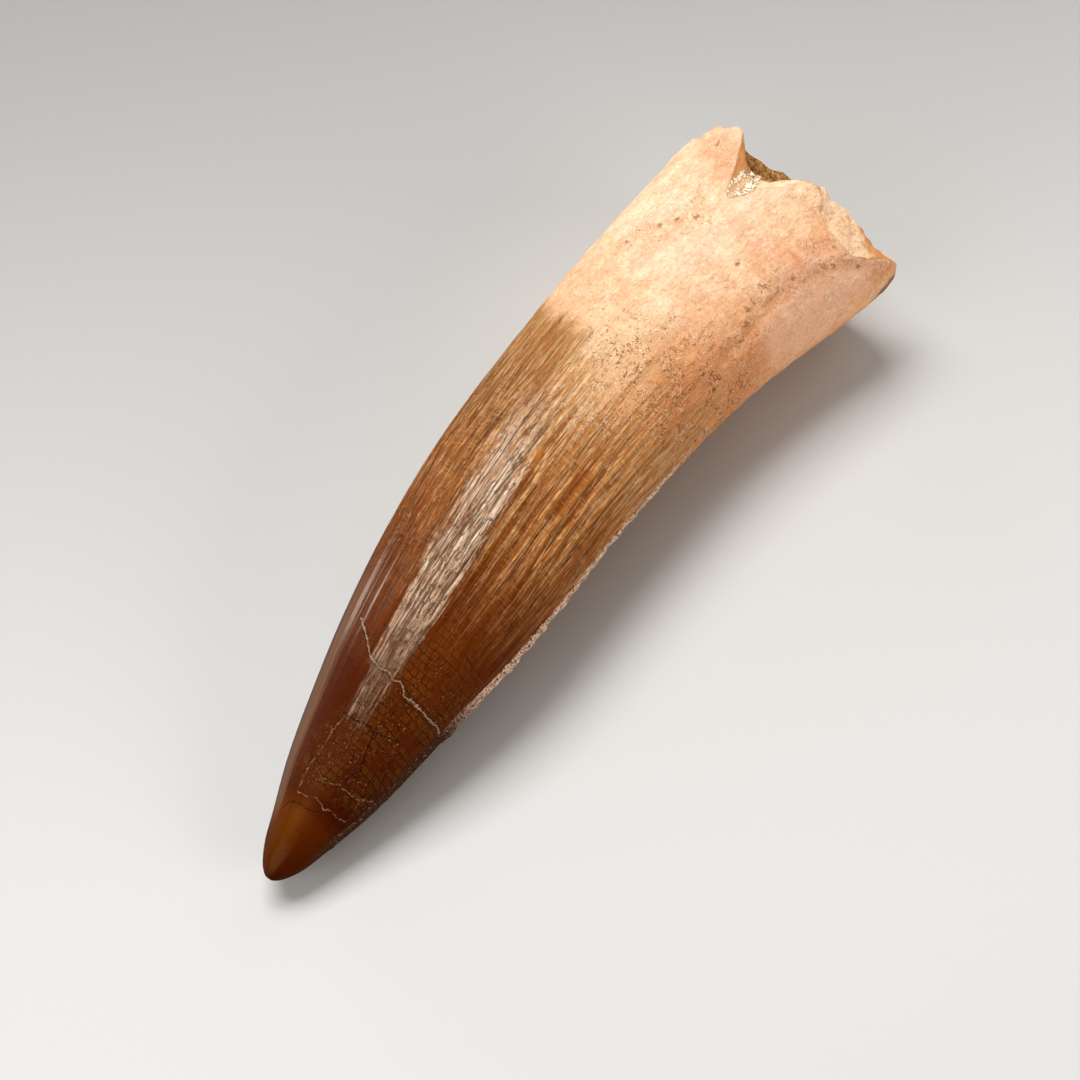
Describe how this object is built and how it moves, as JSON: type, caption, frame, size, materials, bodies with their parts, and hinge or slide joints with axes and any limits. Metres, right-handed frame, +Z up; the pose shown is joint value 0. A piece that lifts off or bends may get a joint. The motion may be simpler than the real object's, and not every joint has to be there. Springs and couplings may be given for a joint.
{
  "type": "fossil spinosaurus tooth",
  "caption": "Curved fluted fossil tooth with a glossy amber crown, a pale broken root and a pulp hole in the broken end, lying on its side.",
  "frame": {"origin": "under the middle of the tooth's box, on the surface that it lies on", "axes": "+X from the point of the crown to the broken end of the root, +Y towards the bulging front edge, +Z up from the surface that it lies on"},
  "size_m": [0.0832, 0.0254, 0.0177],
  "materials": {
    "fossil_tooth": "mineralised tooth: silky to glossy brown enamel on the crown, dull cream and peach dentine on the root"
  },
  "bodies": {
    "root": {"tooth": "fossil_tooth"}
  },
  "joints": []
}
